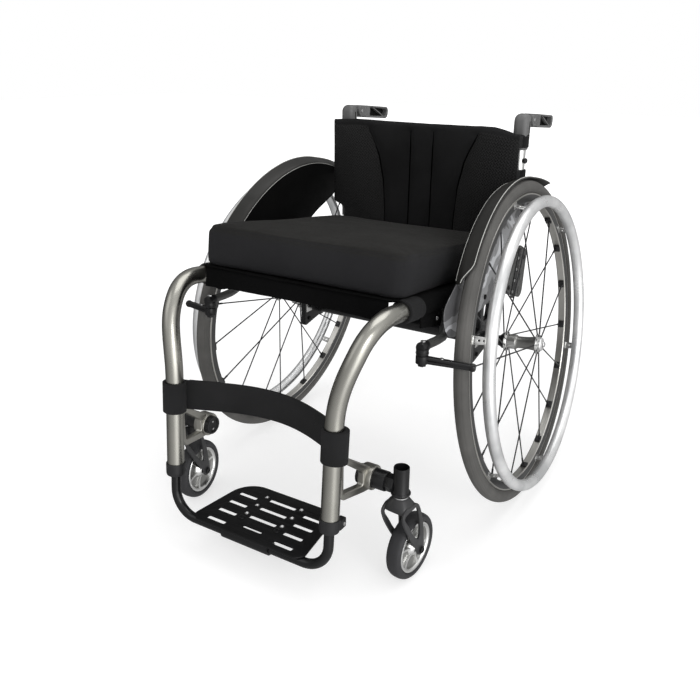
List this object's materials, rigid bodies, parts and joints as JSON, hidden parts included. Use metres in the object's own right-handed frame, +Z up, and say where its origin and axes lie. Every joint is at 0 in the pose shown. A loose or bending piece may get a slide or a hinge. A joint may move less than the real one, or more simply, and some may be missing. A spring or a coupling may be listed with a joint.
{
  "type": "manual wheelchair",
  "caption": "Rigid-frame manual wheelchair with cambered quick-release wheels, outrigger casters, hand rims, side guards and a back that folds forward.",
  "frame": {"origin": "on the floor under the middle of the bounding box", "axes": "+Z up, the chair faces -Y, and the sitter's left is +X"},
  "size_m": [0.6794, 0.8101, 0.7035],
  "materials": {
    "champagne_tube": "satin champagne anodised",
    "silver_metal": "polished",
    "silver_steel": "satin",
    "rim_metal": "anodised",
    "white_handrim": "pale satin coating",
    "black_metal": "black anodised",
    "grey_coated": "dark grey coated",
    "black_plastic": "moulded",
    "grey_plastic": "moulded",
    "guard_grey": "moulded",
    "tyre_grey": "worn rubber",
    "tyre_black": "matt rubber",
    "black_fabric": "woven",
    "cushion_fabric": "stretch woven"
  },
  "bodies": {
    "frame": {"camber_tube": "black_metal", "seat_sling": "black_fabric", "seat_cushion": "cushion_fabric", "calf_strap": "black_fabric", "frame_tube_left": "champagne_tube", "axle_hanger_left": "black_metal", "axle_sleeve_left": "black_metal", "back_bracket_left": "grey_coated", "side_guard_left": "guard_grey", "caster_bracket_left": "champagne_tube", "caster_barrel_left": "black_metal", "caster_housing_left": "black_metal", "hoop_collar_left": "black_plastic", "brake_bracket_left": "black_metal", "frame_tube_right": "champagne_tube", "axle_hanger_right": "black_metal", "axle_sleeve_right": "black_metal", "back_bracket_right": "grey_coated", "side_guard_right": "guard_grey", "caster_bracket_right": "champagne_tube", "caster_barrel_right": "black_metal", "caster_housing_right": "black_metal", "hoop_collar_right": "black_plastic", "brake_bracket_right": "black_metal"},
    "backrest": {"back_bar": "black_metal", "back_upholstery": "black_fabric", "back_post_left": "silver_metal", "handle_base_left": "grey_plastic", "back_post_right": "silver_metal", "handle_base_right": "grey_plastic"},
    "footrest": {"footrest_hoop": "black_metal", "footplate": "black_metal", "footplate_clamp": "black_metal"},
    "handle_grip_left": {"push_handle_left": "grey_plastic"},
    "rear_axle_left": {"release_axle_left": "silver_steel"},
    "rear_wheel_left": {"rear_tyre_left": "tyre_grey", "rear_rim_left": "rim_metal", "rear_hub_left": "silver_metal", "handrim_left": "white_handrim"},
    "rear_button_left": {"release_button_left": "silver_steel"},
    "caster_swivel_left": {"caster_fork_left": "black_metal", "caster_axle_left": "silver_steel"},
    "caster_wheel_left": {"caster_tyre_left": "tyre_black", "caster_rim_left": "silver_metal"},
    "brake_left": {"brake_arm_left": "black_metal"},
    "handle_grip_right": {"push_handle_right": "grey_plastic"},
    "rear_axle_right": {"release_axle_right": "silver_steel"},
    "rear_wheel_right": {"rear_tyre_right": "tyre_grey", "rear_rim_right": "rim_metal", "rear_hub_right": "silver_metal", "handrim_right": "white_handrim"},
    "rear_button_right": {"release_button_right": "silver_steel"},
    "caster_swivel_right": {"caster_fork_right": "black_metal", "caster_axle_right": "silver_steel"},
    "caster_wheel_right": {"caster_tyre_right": "tyre_black", "caster_rim_right": "silver_metal"},
    "brake_right": {"brake_arm_right": "black_metal"}
  },
  "joints": [
    {"name": "backrest_fold", "type": "hinge", "parent": "frame", "child": "backrest", "pos_m": [0, 0.22275, 0.49], "axis": [1, 0, 0], "range_deg": [0, 78], "deforming": ["seat_cushion"]},
    {"name": "push_handle_left_fold", "type": "hinge", "parent": "backrest", "child": "handle_grip_left", "pos_m": [0.19, 0.25175, 0.6905], "axis": [-1, 0, 0], "range_deg": [0, 85]},
    {"name": "rear_axle_left_slide", "type": "slide", "parent": "frame", "child": "rear_axle_left", "axis": [0.9945, 0, 0.1045], "range_m": [0, 0.12]},
    {"name": "rear_wheel_left_spin", "type": "hinge", "parent": "rear_axle_left", "child": "rear_wheel_left", "pos_m": [0.2665, 0.10625, 0.29843], "axis": [0.9945, 0, 0.1045], "continuous": true},
    {"name": "release_button_left_press", "type": "slide", "parent": "rear_axle_left", "child": "rear_button_left", "axis": [-0.9945, 0, -0.1045], "range_m": [0, 0.0035], "stiffness_N_per_m": 800},
    {"name": "caster_left_swivel", "type": "hinge", "parent": "frame", "child": "caster_swivel_left", "pos_m": [0.2235, -0.29475, 0.165], "axis": [0, 0, 1], "continuous": true},
    {"name": "caster_left_spin", "type": "hinge", "parent": "caster_swivel_left", "child": "caster_wheel_left", "pos_m": [0.22686, -0.25991, 0.0555], "axis": [0.9954, -0.0958, 0], "continuous": true},
    {"name": "brake_left_swing", "type": "hinge", "parent": "frame", "child": "brake_left", "pos_m": [0.212, -0.21725, 0.3705], "axis": [0, 0, -1], "range_deg": [-2, 145]},
    {"name": "push_handle_right_fold", "type": "hinge", "parent": "backrest", "child": "handle_grip_right", "pos_m": [-0.19, 0.25175, 0.6905], "axis": [-1, 0, 0], "range_deg": [0, 85]},
    {"name": "rear_axle_right_slide", "type": "slide", "parent": "frame", "child": "rear_axle_right", "axis": [-0.9945, 0, 0.1045], "range_m": [0, 0.12]},
    {"name": "rear_wheel_right_spin", "type": "hinge", "parent": "rear_axle_right", "child": "rear_wheel_right", "pos_m": [-0.2665, 0.10625, 0.29843], "axis": [-0.9945, 0, 0.1045], "continuous": true},
    {"name": "release_button_right_press", "type": "slide", "parent": "rear_axle_right", "child": "rear_button_right", "axis": [0.9945, 0, -0.1045], "range_m": [0, 0.0035], "stiffness_N_per_m": 800},
    {"name": "caster_right_swivel", "type": "hinge", "parent": "frame", "child": "caster_swivel_right", "pos_m": [-0.2235, -0.29475, 0.165], "axis": [0, 0, 1], "continuous": true},
    {"name": "caster_right_spin", "type": "hinge", "parent": "caster_swivel_right", "child": "caster_wheel_right", "pos_m": [-0.22758, -0.25999, 0.0555], "axis": [-0.9932, -0.1167, 0], "continuous": true},
    {"name": "brake_right_swing", "type": "hinge", "parent": "frame", "child": "brake_right", "pos_m": [-0.212, -0.21725, 0.3705], "axis": [0, 0, 1], "range_deg": [-2, 145]},
    {"name": "footrest_height", "type": "slide", "parent": "frame", "child": "footrest", "axis": [0, 0.0773, 0.997], "range_m": [-0.03, 0.02]}
  ]
}
